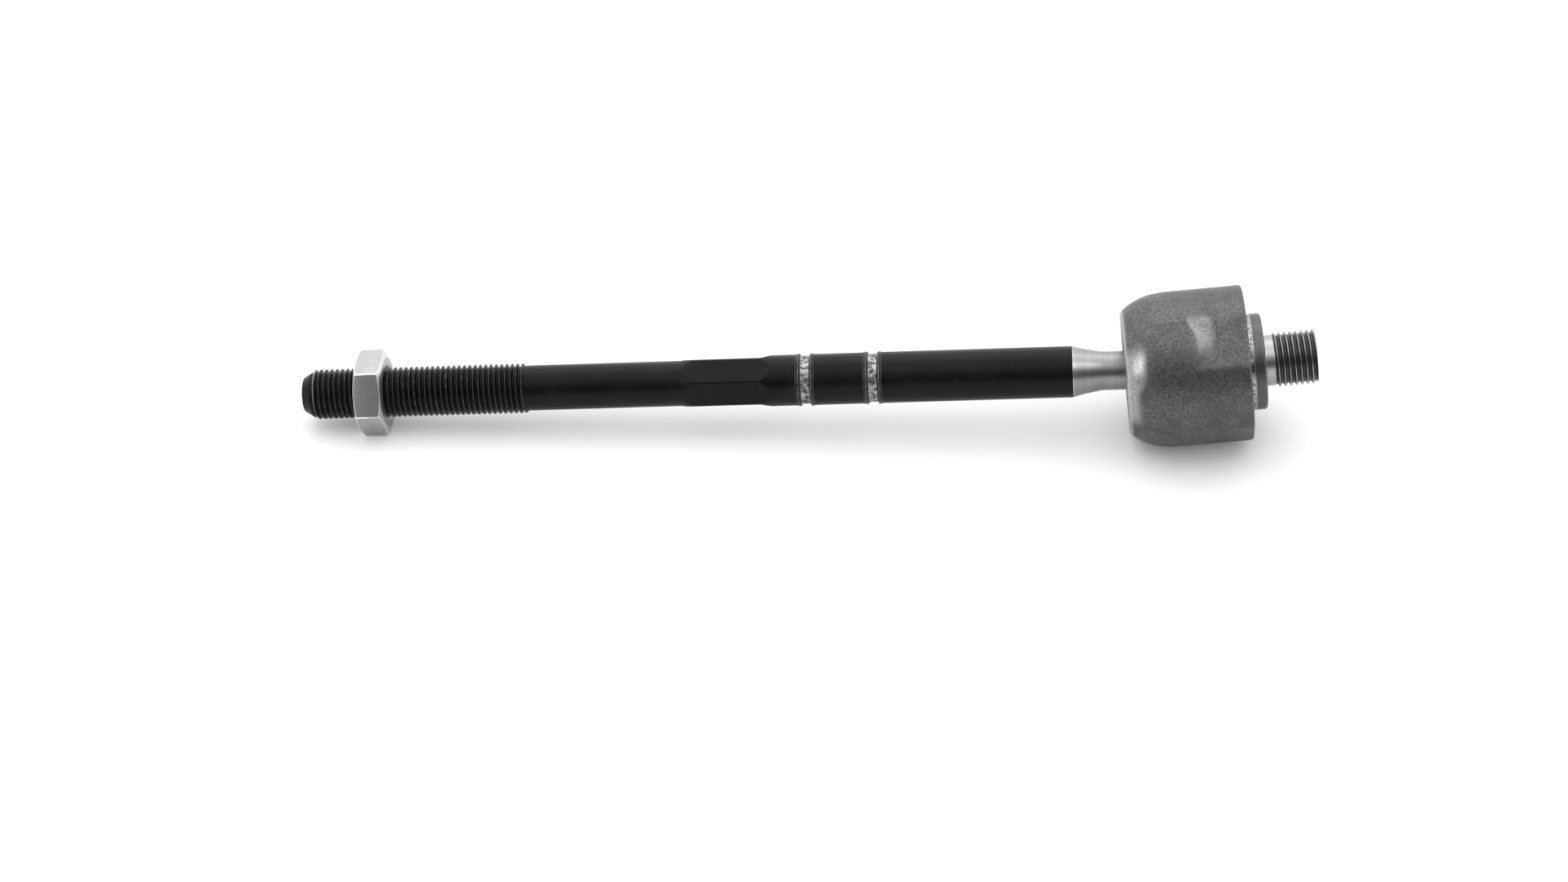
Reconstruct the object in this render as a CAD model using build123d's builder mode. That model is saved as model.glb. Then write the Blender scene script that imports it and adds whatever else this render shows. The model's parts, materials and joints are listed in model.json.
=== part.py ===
from build123d import *
from math import asin, atan2, cos, degrees, hypot, pi, radians, sin, sqrt, tan
import os

# Inner tie rod in millimetres: a steel rod with a ball on one end, held in a socket
# housing that screws onto a steering rack. The other end is threaded and has a jam nut.
# Each piece is drawn along X in its own frame and placed as it lies at rest.

# Rod: places along its axis, counted from the threaded end
thread_r = 6.93
thread_len = 62.5
thread_lead_r = 4.8
thread_lead_len = 3.4
thread_runout_len = 0.7
thin_shaft_r = 6.28
hex_start = 106.0
hex_len = 22.0
hex_across_flats = 12.8
hex_corner_r = 7.25
hex_rise_len = 3.2
hex_ramp_len = 4.0
hex_roll_deg = 33.8
side_count = 6
thick_shaft_r = 7.05
bare_start = 213.75
bare_skin_step = 0.1
neck_taper_len = 8.3
neck_taper_mid_len = 3.8
neck_taper_mid_r = 6.05
neck_r = 5.3
neck_len = 20.35

# Two boot grooves, each between a pair of rolled lips
groove_places = (140.5, 159.1)
groove_floor_r = 6.64
groove_floor_len = 2.4
lip_r = 7.3
lip_foot_len = 1.2
lip_spacing = 3.6

# Ball
ball_r = 13.0
ball_flat_r = 5.0
ball_neck_blend = 1.5
articulation_deg = 22.0

# Ball seat, a thin plastic race that snaps over the ball
seat_wall = 1.85
running_clearance = 0.1
seat_mouth_spare_deg = 2.0
seat_grease_hole_r = 8.0
seat_slot_count = 4
seat_slot_width = 2.0
seat_slot_past_centre = 4.0
seat_back_deg = 45.0

# Socket housing, along its axis from the rolled front face
housing_r = 21.2
floor_len = 5.5
face_r = 16.7
dome_len = 12.0
dome_band_count = 3
ball_depth = 14.5
neck_clearance = 0.35
back_corner_chamfer = 0.9
flat_distance = 20.1
flat_count = 4
flat_roll_deg = 51.2
flat_len = 9.5
shoulder_len = 5.8
shoulder_undercut = 0.2

# Collar and rack stud, turned in one piece with the housing
collar_r = 13.1
collar_len = 4.4
collar_edge_chamfer = 0.6
collar_root_chamfer = 0.6
stud_relief_r = 6.9
stud_relief_len = 2.5
stud_thread_r = 7.43
stud_thread_len = 11.6
stud_chamfer = 0.6

# Jam nut
nut_across_flats = 21.0
nut_len = 8.0
nut_place = 19.45
nut_chamfer_r = 9.8
nut_chamfer_deg = 22.0
nut_clearance = 0.05
nut_countersink = 0.7

# Rest: the socket lies on its round side and the nut on a flat, with the joint bent
housing_rise_deg = 5.71
housing_swing_deg = 1.81

# Sizes that follow
ball_place = bare_start + neck_taper_len + neck_len
cavity_r = ball_r + running_clearance + seat_wall + running_clearance
seat_inner_r = ball_r + running_clearance
seat_outer_r = seat_inner_r + seat_wall
seat_back_x = ball_r + running_clearance
bore_end_x = seat_back_x + running_clearance
housing_len = ball_depth + bore_end_x + floor_len
hex_end = hex_start + hex_len
neck_start = bare_start + neck_taper_len
ball_neck_x = ball_place - sqrt(ball_r**2 - neck_r**2)
ball_flat_x = ball_place + sqrt(ball_r**2 - ball_flat_r**2)
collar_end = housing_len + collar_len
relief_end = collar_end + stud_relief_len
stud_end = relief_end + stud_thread_len
shoulder_start = housing_len - flat_len - shoulder_len
shoulder_end = housing_len - flat_len
core_r = flat_distance - shoulder_undercut

# The neck clears the seat's edge and the housing's mouth when the joint is fully bent. The
# rolled rim closes on the seat as a cone that is tangent to the round of the seat at its mouth.
articulation = radians(articulation_deg)
blend_angle = asin((neck_r + ball_neck_blend) / (ball_r + ball_neck_blend))
seat_mouth_angle = articulation + blend_angle + radians(seat_mouth_spare_deg)
neck_angle = seat_mouth_angle - articulation
cone_past_seat = (cavity_r * sin(neck_angle) - neck_r - neck_clearance) / cos(neck_angle)
mouth_r = cavity_r * sin(seat_mouth_angle) - cone_past_seat * cos(seat_mouth_angle)
mouth_x = -cavity_r * cos(seat_mouth_angle) - cone_past_seat * sin(seat_mouth_angle)
mouth_face_r = (neck_r + neck_clearance + ball_depth * sin(articulation)) / cos(articulation)
cone_end_share = cos(seat_mouth_angle) - tan(seat_mouth_angle) * (1 - sin(seat_mouth_angle))
seat_back_angle = radians(seat_back_deg)
back_end_share = tan(seat_back_angle / 2)
grease_x = (seat_inner_r - seat_grease_hole_r * sin(seat_back_angle)) / cos(seat_back_angle)
dome_drop = housing_r - face_r
dome_r = (dome_len**2 + dome_drop**2) / (2 * dome_drop)
dome_angle = asin(dome_len / dome_r)
dome_corners = []
for band in range(dome_band_count + 1):
    angle = dome_angle * (1 - band / dome_band_count)
    dome_corners.append((dome_len - dome_r * sin(angle), housing_r - dome_r * (1 - cos(angle))))
nut_corner_r = nut_across_flats / 2 / cos(pi / side_count)
nut_corner_drop = (nut_corner_r - nut_chamfer_r) * tan(radians(nut_chamfer_deg))
nut_flat_drop = (nut_across_flats / 2 - nut_chamfer_r) * tan(radians(nut_chamfer_deg))
nut_bore_r = thread_r + nut_clearance
beyond = 5.0


# What a press takes off a round bar to leave a hexagon with ramped ends
with BuildPart() as hex_waste:
    with BuildSketch(Plane.YZ.offset(hex_start - beyond)):
        Circle(hex_corner_r + beyond)
    extrude(amount=hex_len + hex_ramp_len + beyond)
    with BuildSketch(Plane.YZ.offset(hex_start - beyond)):
        RegularPolygon(
            radius=hex_across_flats / 2, side_count=side_count, major_radius=False, rotation=-hex_roll_deg
        )
    extrude(amount=hex_len + beyond, mode=Mode.SUBTRACT)
    with BuildSketch(Plane.YZ.offset(hex_end)) as ramp_foot:
        RegularPolygon(
            radius=hex_across_flats / 2, side_count=side_count, major_radius=False, rotation=-hex_roll_deg
        )
    with BuildSketch(Plane.YZ.offset(hex_end + hex_ramp_len)) as ramp_top:
        RegularPolygon(radius=hex_corner_r, side_count=side_count, major_radius=False, rotation=-hex_roll_deg)
    loft(sections=[ramp_foot.sketch, ramp_top.sketch], mode=Mode.SUBTRACT)


# The rod, from its threaded end to the ball, turned from one bar
with BuildPart() as ball_rod:
    with BuildSketch(Plane.XY) as rod_section:
        with BuildLine():
            Polyline(
                (ball_flat_x, ball_flat_r),
                (ball_flat_x, 0),
                (0, 0),
                (0, thread_lead_r),
                (thread_lead_len, thread_r),
                (thread_len, thread_r),
                (thread_len + thread_runout_len, thin_shaft_r),
                (hex_start, thin_shaft_r),
                (hex_start + hex_rise_len, hex_corner_r),
                (hex_end, hex_corner_r),
                (hex_end + hex_ramp_len, thick_shaft_r),
                (bare_start, thick_shaft_r),
                (bare_start, thick_shaft_r - bare_skin_step),
                (bare_start + neck_taper_mid_len, neck_taper_mid_r),
                (neck_start, neck_r),
                (ball_neck_x, neck_r),
            )
            ThreePointArc((ball_neck_x, neck_r), (ball_place, ball_r), (ball_flat_x, ball_flat_r))
        make_face()
        neck_root = rod_section.vertices().sort_by_distance((ball_neck_x, neck_r, 0))[0]
        chamfer(neck_root, length=ball_neck_blend)
        for place in groove_places:
            for lip_place in (place - lip_spacing / 2, place + lip_spacing / 2):
                with BuildLine():
                    Polyline(
                        (lip_place - lip_foot_len / 2, groove_floor_r),
                        (lip_place - lip_foot_len / 2, thick_shaft_r),
                        (lip_place, lip_r),
                        (lip_place + lip_foot_len / 2, thick_shaft_r),
                        (lip_place + lip_foot_len / 2, groove_floor_r),
                        close=True,
                    )
                make_face()
            with Locations((place, groove_floor_r + lip_r / 2)):
                Rectangle(groove_floor_len, lip_r, mode=Mode.SUBTRACT)
    revolve(axis=Axis.X)
    add(hex_waste.part, mode=Mode.SUBTRACT)


# The ball seat, drawn from the ball's centre: a slotted race, open at the neck and at the back.
# Its inside is a bore and two cones that all touch one sphere, a running clearance off the ball.
with BuildPart() as ball_seat:
    with BuildSketch(Plane.XY):
        with BuildLine():
            Polyline(
                (-seat_inner_r * cos(seat_mouth_angle), seat_inner_r * sin(seat_mouth_angle)),
                (-seat_outer_r * cos(seat_mouth_angle), seat_outer_r * sin(seat_mouth_angle)),
                (-seat_outer_r * cone_end_share, seat_outer_r),
                (seat_back_x, seat_outer_r),
                (seat_back_x, seat_grease_hole_r),
                (grease_x, seat_grease_hole_r),
                (seat_inner_r * back_end_share, seat_inner_r),
                (-seat_inner_r * cone_end_share, seat_inner_r),
                close=True,
            )
        make_face()
    revolve(axis=Axis.X)
    with BuildSketch(Plane.YZ.offset(-seat_outer_r)):
        with PolarLocations(seat_outer_r, seat_slot_count):
            Rectangle(seat_outer_r, seat_slot_width)
    extrude(amount=seat_outer_r + seat_slot_past_centre, mode=Mode.SUBTRACT)


# Stock left proud of the round core by the four flats, inside the round of the housing
with BuildPart() as flats_stock:
    with BuildSketch(Plane.YZ.offset(shoulder_start)):
        RegularPolygon(
            radius=flat_distance,
            side_count=flat_count,
            major_radius=False,
            rotation=180 / flat_count - flat_roll_deg,
        )
    extrude(amount=housing_len - shoulder_start)
    with BuildSketch(Plane.XY) as round_envelope:
        with BuildLine():
            Polyline(
                (shoulder_start, 0),
                (shoulder_start, housing_r),
                (housing_len, housing_r),
                (housing_len, 0),
                close=True,
            )
        make_face()
        back_corner = round_envelope.vertices().sort_by_distance((housing_len, housing_r, 0))[0]
        chamfer(back_corner, length=back_corner_chamfer)
    revolve(axis=Axis.X, mode=Mode.INTERSECT)


# The socket housing: rolled dome, round body, four flats, collar and rack stud
with BuildPart() as socket_housing:
    with BuildSketch(Plane.XY) as housing_section:
        with BuildLine():
            Polyline(
                *dome_corners,
                (shoulder_start, housing_r),
                (shoulder_end, core_r),
                (housing_len, core_r),
                (housing_len, collar_r),
                (collar_end, collar_r),
                (collar_end, stud_relief_r),
                (relief_end, stud_relief_r),
                (relief_end, stud_thread_r),
                (stud_end, stud_thread_r),
                (stud_end, 0),
                (0, 0),
                close=True,
            )
        make_face()
        corners = housing_section.vertices()
        chamfer(corners.sort_by_distance((housing_len, collar_r, 0))[0], length=collar_root_chamfer)
        corners = housing_section.vertices()
        chamfer(corners.sort_by_distance((collar_end, collar_r, 0))[0], length=collar_edge_chamfer)
        corners = housing_section.vertices()
        chamfer(corners.sort_by_distance((stud_end, stud_thread_r, 0))[0], length=stud_chamfer)
        corners = housing_section.vertices()
        chamfer(
            corners.sort_by_distance((relief_end, stud_thread_r, 0))[0],
            length=stud_thread_r - stud_relief_r,
        )
    revolve(axis=Axis.X)
    add(flats_stock.part)
    with BuildSketch(Plane.XY):
        with BuildLine():
            Polyline(
                (0, 0),
                (0, mouth_face_r),
                (ball_depth + mouth_x, mouth_r),
                (ball_depth - cavity_r * cone_end_share, cavity_r),
                (ball_depth + bore_end_x, cavity_r),
                (ball_depth + bore_end_x, 0),
                close=True,
            )
        make_face()
    revolve(axis=Axis.X, mode=Mode.SUBTRACT)


# The jam nut: a hexagon turned to a cone on both faces, over a countersunk bore
with BuildPart() as jam_nut:
    with BuildSketch(Plane.YZ.offset(-nut_len / 2)):
        RegularPolygon(radius=nut_across_flats / 2, side_count=side_count, major_radius=False)
    extrude(amount=nut_len)
    with BuildSketch(Plane.XY):
        with BuildLine():
            Polyline(
                (-nut_len / 2, 0),
                (-nut_len / 2, nut_chamfer_r),
                (-nut_len / 2 + nut_corner_drop, nut_corner_r),
                (nut_len / 2 - nut_corner_drop, nut_corner_r),
                (nut_len / 2, nut_chamfer_r),
                (nut_len / 2, 0),
                close=True,
            )
        make_face()
    revolve(axis=Axis.X, mode=Mode.INTERSECT)
    with BuildSketch(Plane.XY):
        with BuildLine():
            Polyline(
                (-nut_len / 2, 0),
                (-nut_len / 2, nut_bore_r + nut_countersink),
                (-nut_len / 2 + nut_countersink, nut_bore_r),
                (nut_len / 2 - nut_countersink, nut_bore_r),
                (nut_len / 2, nut_bore_r + nut_countersink),
                (nut_len / 2, 0),
                close=True,
            )
        make_face()
    revolve(axis=Axis.X, mode=Mode.SUBTRACT)


# Rest places: the widest end of the dome and the lower edge of the nut's flat touch the floor
housing_rise = radians(housing_rise_deg)
ball_height = housing_r * cos(housing_rise) - (dome_len - ball_depth) * sin(housing_rise)
nut_edge_x = nut_place - nut_len / 2 + nut_flat_drop
nut_reach = ball_place - nut_edge_x
rod_rise = asin(ball_height / hypot(nut_reach, nut_across_flats / 2)) - atan2(
    nut_across_flats / 2, nut_reach
)
rod_rise_deg = degrees(rod_rise)

joint_place = Location((0, 0, ball_height))
rod_place = joint_place * Location((0, 0, 0), (0, -rod_rise_deg, 0)) * Location((-ball_place, 0, 0))
nut_rest_place = rod_place * Location((nut_place, 0, 0))
housing_turn = Location((0, 0, 0), (0, 0, housing_swing_deg)) * Location(
    (0, 0, 0), (0, -housing_rise_deg, 0)
)
seat_place = joint_place * housing_turn
housing_place = seat_place * Location((-ball_depth, 0, 0))

ball_rod.part.move(rod_place)
jam_nut.part.move(nut_rest_place)
ball_seat.part.move(seat_place)
socket_housing.part.move(housing_place)

# The origin is on the floor under the middle of the whole object
pieces = [ball_rod.part, jam_nut.part, ball_seat.part, socket_housing.part]
extent = Compound(pieces).bounding_box()
to_origin = Location((-extent.center().X, -extent.center().Y, -extent.min.Z))

os.makedirs("parts", exist_ok=True)
ball_rod.part.move(to_origin)
ball_rod.part.label = "ball_rod"
export_step(ball_rod.part, "parts/ball_rod.step")
jam_nut.part.move(to_origin)
jam_nut.part.label = "jam_nut"
export_step(jam_nut.part, "parts/jam_nut.step")
ball_seat.part.move(to_origin)
ball_seat.part.label = "ball_seat"
export_step(ball_seat.part, "parts/ball_seat.step")
socket_housing.part.move(to_origin)
socket_housing.part.label = "socket_housing"
export_step(socket_housing.part, "parts/socket_housing.step")
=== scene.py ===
"""The looks of an inner tie rod: threads, coating, turned steel and shot-blasted steel.

Each piece is drawn in millimetres round its own turning axis, with x along the axis, and is then
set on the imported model. A point's place on that axis is kept on the mesh for the finishes to use.
"""

import json
import logging
import math
from dataclasses import dataclass, field
from enum import Enum
from typing import Any, Callable, Sequence

import bmesh
import bpy
import numpy as np
from mathutils import Matrix, Vector, noise


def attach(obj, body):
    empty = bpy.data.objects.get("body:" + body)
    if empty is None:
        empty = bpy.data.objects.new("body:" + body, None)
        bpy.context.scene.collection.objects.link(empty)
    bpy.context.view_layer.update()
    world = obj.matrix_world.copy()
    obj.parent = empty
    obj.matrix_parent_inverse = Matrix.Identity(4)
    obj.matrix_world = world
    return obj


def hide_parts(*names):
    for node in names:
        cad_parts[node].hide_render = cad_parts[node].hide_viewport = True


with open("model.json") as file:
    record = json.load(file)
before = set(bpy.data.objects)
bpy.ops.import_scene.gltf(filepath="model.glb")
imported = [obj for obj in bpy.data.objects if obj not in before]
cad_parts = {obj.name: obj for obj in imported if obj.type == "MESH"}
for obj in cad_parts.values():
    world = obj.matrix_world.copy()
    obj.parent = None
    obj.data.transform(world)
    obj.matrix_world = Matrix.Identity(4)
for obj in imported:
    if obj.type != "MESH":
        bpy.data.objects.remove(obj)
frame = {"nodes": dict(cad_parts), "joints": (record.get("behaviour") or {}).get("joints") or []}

log = logging.getLogger("tie_rod")

MM = 0.001
LOCAL = "local"
SHARP_ANGLE = math.radians(27)
WELD_MM = 0.002
HALF_HEX_SIDE = math.pi / 6


class Body(Enum):
    """The moving bodies that a piece can ride on."""

    ROD = "rod"
    HOUSING = "housing"
    NUT = "nut"


class Slot(Enum):
    """The material slots of the record."""

    BLACK_COAT = "black_coat"
    FORGED_STEEL = "forged_steel"
    PLATED_STEEL = "plated_steel"
    BARE_STEEL = "bare_steel"
    SEAT_PLASTIC = "seat_plastic"


class Wire:
    """A socket of a node tree. Arithmetic on it adds Math nodes."""

    def __init__(self, bench: "NodeBench", socket: bpy.types.NodeSocket) -> None:
        """Wraps an output socket.

        Args:
            bench: The tree that the socket is in.
            socket: The output socket.
        """
        self.bench = bench
        self.socket = socket

    def _math(self, operation: str, *values: Any) -> "Wire":
        """Adds one Math node on this wire and others, and returns its result."""
        inputs = dict(enumerate(values))
        return self.bench.node("ShaderNodeMath", {"operation": operation}, inputs)

    def __add__(self, other: Any) -> "Wire":
        """This wire plus another value."""
        return self._math("ADD", self, other)

    def __radd__(self, other: Any) -> "Wire":
        """Another value plus this wire."""
        return self._math("ADD", other, self)

    def __sub__(self, other: Any) -> "Wire":
        """This wire minus another value."""
        return self._math("SUBTRACT", self, other)

    def __rsub__(self, other: Any) -> "Wire":
        """Another value minus this wire."""
        return self._math("SUBTRACT", other, self)

    def __mul__(self, other: Any) -> "Wire":
        """This wire times another value."""
        return self._math("MULTIPLY", self, other)

    def __rmul__(self, other: Any) -> "Wire":
        """Another value times this wire."""
        return self._math("MULTIPLY", other, self)

    def __truediv__(self, other: Any) -> "Wire":
        """This wire divided by another value."""
        return self._math("DIVIDE", self, other)

    def __abs__(self) -> "Wire":
        """The size of this wire without its sign."""
        return self._math("ABSOLUTE", self)

    def larger(self, other: Any) -> "Wire":
        """The larger of this wire and another value."""
        return self._math("MAXIMUM", self, other)

    def above(self, edge: float, soft: float) -> "Wire":
        """A mask that rises smoothly from 0 to 1 across an edge.

        Args:
            edge: The value in the middle of the rise.
            soft: Half the width of the rise.

        Returns:
            The mask.
        """
        settings = {"interpolation_type": "SMOOTHSTEP"}
        inputs = {"Value": self, "From Min": edge - soft, "From Max": edge + soft}
        return self.bench.node("ShaderNodeMapRange", settings, inputs)

    def between(self, low: float, high: float, soft: float) -> "Wire":
        """A mask that is 1 between two values and falls smoothly outside them.

        Args:
            low: The lower edge.
            high: The upper edge.
            soft: Half the width of each edge.

        Returns:
            The mask.
        """
        return self.above(low, soft) * (1 - self.above(high, soft))


class NodeBench:
    """Builds one node tree for a material or the world."""

    def __init__(self, owner: Any) -> None:
        """Clears the owner's tree.

        Args:
            owner: A material or a world.
        """
        owner.use_nodes = True
        self.tree = owner.node_tree
        self.tree.nodes.clear()

    def node(
        self, kind: str, settings: dict | None = None, inputs: dict | None = None, output: Any = 0
    ) -> Wire:
        """Adds one node.

        Args:
            kind: The node's type.
            settings: Properties to set first. "stops" sets the stops of a colour ramp.
            inputs: Values or wires by socket name or number.
            output: The name or number of the output socket to return.

        Returns:
            The chosen output as a wire.
        """
        made = self.tree.nodes.new(kind)
        for name, value in (settings or {}).items():
            if name == "stops":
                self._set_stops(made.color_ramp, value)
            else:
                setattr(made, name, value)
        for name, value in (inputs or {}).items():
            if isinstance(value, Wire):
                self.tree.links.new(value.socket, made.inputs[name])
            elif isinstance(made.inputs[name], bpy.types.NodeSocketColor):
                made.inputs[name].default_value = (*self._as_colour(value), 1.0)
            else:
                made.inputs[name].default_value = value
        return Wire(self, made.outputs[output] if len(made.outputs) else None)

    @staticmethod
    def _as_colour(value: Any) -> tuple:
        """A grey number or a colour as three numbers."""
        return (value,) * 3 if isinstance(value, (int, float)) else tuple(value[:3])

    def _set_stops(self, ramp: bpy.types.ColorRamp, stops: Sequence[tuple]) -> None:
        """Gives a colour ramp its stops, each a place and a grey."""
        while len(ramp.elements) < len(stops):
            ramp.elements.new(1.0)
        for element, (place, grey) in zip(ramp.elements, stops):
            element.position = place
            element.color = (*self._as_colour(grey), 1.0)

    def mix(self, low: Any, high: Any, share: Any) -> Wire:
        """Mixes two colours.

        Args:
            low: The colour where the share is 0.
            high: The colour where the share is 1.
            share: The mask.

        Returns:
            The mixed colour.
        """
        settings = {"data_type": "RGBA"}
        return self.node("ShaderNodeMix", settings, {0: share, 6: low, 7: high}, output=2)

    def place(self) -> Wire:
        """The point's place on its piece's turning axis, in millimetres, as a vector."""
        return self.node("ShaderNodeAttribute", {"attribute_name": LOCAL}, output="Vector")

    def parts(self, vector: Wire) -> tuple[Wire, Wire, Wire]:
        """The three parts of a vector."""
        first = self.node("ShaderNodeSeparateXYZ", None, {0: vector}, output=0)
        outputs = first.socket.node.outputs
        return first, Wire(self, outputs[1]), Wire(self, outputs[2])

    def turned_place(self) -> tuple[Wire, Wire, Wire, Wire, Wire]:
        """The point's place as a vector, its three parts and its distance from the axis."""
        place = self.place()
        along, across, up = self.parts(place)
        square = across * across + up * up
        radius = self.node("ShaderNodeMath", {"operation": "SQRT"}, {0: square})
        return place, along, across, up, radius

    def stretched(self, vector: Wire, factors: tuple) -> Wire:
        """A vector with each part multiplied by a number."""
        settings = {"operation": "MULTIPLY"}
        return self.node("ShaderNodeVectorMath", settings, {0: vector, 1: factors})

    def grain(self, vector: Wire, scale: float, detail: float = 3.0, rough: float = 0.55) -> Wire:
        """Noise from 0 to 1 over a vector.

        Args:
            vector: Where the noise is read.
            scale: Grains per unit of the vector.
            detail: Octaves of finer noise.
            rough: How strong the finer noise is.

        Returns:
            The noise.
        """
        inputs = {"Vector": vector, "Scale": scale, "Detail": detail, "Roughness": rough}
        return self.node("ShaderNodeTexNoise", None, inputs)

    def rings(self, along: Wire, scale: float, detail: float = 2.0) -> Wire:
        """Noise that changes only along the axis, as a turning tool leaves it.

        Args:
            along: The place along the axis.
            scale: Rings per millimetre.
            detail: Octaves of finer rings.

        Returns:
            The noise.
        """
        settings = {"noise_dimensions": "1D"}
        inputs = {"W": along, "Scale": scale, "Detail": detail}
        return self.node("ShaderNodeTexNoise", settings, inputs)

    def bump(self, height: Wire, depth: float, strength: float = 1.0) -> Wire:
        """A normal that follows a height.

        Args:
            height: The height, from 0 to 1.
            depth: The depth in metres that a height of 1 stands for.
            strength: The share of the effect.

        Returns:
            The normal.
        """
        inputs = {"Height": height, "Distance": depth, "Strength": strength}
        return self.node("ShaderNodeBump", None, inputs)

    def surface(self, inputs: dict) -> None:
        """Ends the tree in a Principled shader with these sockets."""
        shader = self.node("ShaderNodeBsdfPrincipled", None, inputs)
        self.node("ShaderNodeOutputMaterial", None, {"Surface": shader})


@dataclass(frozen=True)
class Finish:
    """A finish of one of the pieces."""

    name: str
    slot: Slot

    def material(self) -> bpy.types.Material:
        """Makes the Blender material of this finish."""
        made = bpy.data.materials.get(self.name)
        if made is None:
            made = bpy.data.materials.new(self.name)
            self.paint(NodeBench(made))
        return made

    def paint(self, bench: NodeBench) -> None:
        """Fills the material's tree."""
        raise NotImplementedError


@dataclass(frozen=True)
class BlackCoat(Finish):
    """Semi-gloss black coating, worn to the metal on the crests of the thread and on the lips."""

    name: str = "coated_rod"
    slot: Slot = Slot.BLACK_COAT
    grey: float = 0.0030
    worn_grey: float = 0.20
    gloss_roughness: float = 0.30
    gloss: float = 0.13
    crest_r: float = 6.88
    thread_end: float = 63.0
    first_crest: tuple = (2.6, 3.7)
    first_crest_r: float = 6.62
    lip_r: float = 7.28
    bead_r: tuple = (7.11, 7.17)
    lips_span: tuple = (136.5, 163.0)
    bump_depth: float = 0.000006

    def paint(self, bench: NodeBench) -> None:
        """Fills the material's tree."""
        place, along, _, _, radius = bench.turned_place()
        fine = bench.grain(place, 2.6, 4.0)
        broad = bench.grain(place, 0.12, 3.0)
        scratch = bench.grain(bench.stretched(place, (6.0, 0.55, 0.55)), 1.0, 3.0)
        crest = radius.above(self.crest_r, 0.04) * (1 - along.above(self.thread_end, 0.3))
        worn_crest = crest * (0.15 + 0.85 * scratch.above(0.60, 0.05) * fine.above(0.48, 0.10))
        first_crest = along.between(*self.first_crest, 0.15)
        first_crest = first_crest * radius.above(self.first_crest_r, 0.05)
        worn_crest = worn_crest.larger(first_crest * broad.above(0.45, 0.10))
        ridges = radius.above(self.lip_r, 0.025).larger(radius.between(*self.bead_r, 0.015) * 0.25)
        on_lips = ridges * along.between(*self.lips_span, 0.2)
        worn_lip = on_lips * (0.30 + 0.70 * scratch.above(0.50, 0.10))
        worn = worn_crest.larger(worn_lip)
        colour = bench.mix(self.grey, self.grey * 1.7, broad.above(0.55, 0.15))
        colour = bench.mix(colour, self.worn_grey, worn)
        bench.surface(
            {
                "Base Color": colour,
                "Metallic": worn * 0.8,
                "Specular IOR Level": self.gloss,
                "Roughness": self.gloss_roughness + 0.09 * broad + 0.12 * worn,
                "Normal": bench.bump(fine, self.bump_depth, 0.35),
            }
        )


@dataclass(frozen=True)
class TurnedSteel(Finish):
    """Bare steel straight from the lathe, with fine rings round the axis and a painted highlight on
    the edge where the coat ends.
    """

    name: str = "turned_steel"
    slot: Slot = Slot.BARE_STEEL
    grey: float = 0.275
    roughness: float = 0.27
    start: float = 213.75
    edge_highlight_span: tuple = (-0.1, 0.13)
    edge_highlight_gain: float = 2.4
    bump_depth: float = 0.000010

    def paint(self, bench: NodeBench) -> None:
        """Fills the material's tree."""
        place = bench.place()
        along, _, _ = bench.parts(place)
        fine_rings = bench.rings(along, 7.0, 3.0)
        broad_rings = bench.rings(along, 0.8, 2.0)
        stain = bench.grain(place, 0.28, 4.0)
        colour = bench.mix(self.grey * 0.92, self.grey * 1.04, broad_rings.above(0.5, 0.2))
        colour = bench.mix(colour, self.grey * 0.8, stain.above(0.60, 0.12) * 0.6)
        # Painted highlight: a thin band at the edge where the coat ends is made much lighter,
        # standing in for the light that this edge catches.
        edge = (along - self.start).between(*self.edge_highlight_span, 0.04)
        colour = bench.mix(colour, self.grey * self.edge_highlight_gain, edge)
        bench.surface(
            {
                "Base Color": colour,
                "Metallic": 1.0,
                "Roughness": self.roughness + 0.10 * fine_rings + 0.06 * stain,
                "Normal": bench.bump(fine_rings, self.bump_depth, 0.35),
            }
        )


@dataclass(frozen=True)
class TurnedStud(Finish):
    """Turned steel on the collar and the stud, with the thread darker down its flanks and darkest
    in its valleys.
    """

    name: str = "turned_stud"
    slot: Slot = Slot.BARE_STEEL
    grey: float = 0.34
    collar_grey: float = 0.065
    valley_dark_grey: float = 0.03
    flank_grey: float = 0.13
    thread_start: float = 40.4
    root_r: float = 6.70
    crest_r: float = 7.34
    collar_start: float = 34.6
    collar_end: float = 37.5
    bump_depth: float = 0.000014

    def paint(self, bench: NodeBench) -> None:
        """Fills the material's tree."""
        place, along, _, _, radius = bench.turned_place()
        fine_rings = bench.rings(along, 6.0, 3.0)
        specks = bench.grain(place, 2.4, 4.0)
        patch = bench.grain(place, 0.35, 3.0)
        thread = along.above(self.thread_start, 0.25)
        valley = thread * (1 - radius.above((self.root_r + self.crest_r) / 2, 0.22))
        collar = along.between(self.collar_start, self.collar_end, 0.15) * radius.above(12.0, 0.4)
        root = 1 - along.above(self.collar_start - 0.3, 0.35)
        # The thread's valleys are painted darkest and less metallic, with a few lighter specks.
        valley_dark = valley * (0.80 + 0.2 * patch.above(0.5, 0.2)) * (1 - 0.55 * specks.above(0.62, 0.05))
        colour = bench.mix(self.grey, self.collar_grey, collar * (0.75 + 0.25 * patch))
        tears = bench.grain(place, 1.0, 3.0).above(0.50, 0.08)
        torn = bench.mix(self.grey * 0.3, self.grey * 1.2, tears)
        colour = bench.mix(colour, torn, root)
        # The thread is painted darker down its flanks than on its crests.
        flank = thread * (1 - radius.above(self.crest_r, 0.07))
        colour = bench.mix(colour, self.flank_grey, flank)
        colour = bench.mix(colour, self.valley_dark_grey, valley_dark)
        bench.surface(
            {
                "Base Color": colour,
                "Metallic": 1.0 - 0.35 * valley,
                "Roughness": 0.26 + 0.12 * specks + 0.10 * collar,
                "Normal": bench.bump(fine_rings + root * specks * 2.0, self.bump_depth, 0.6),
            }
        )


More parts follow.
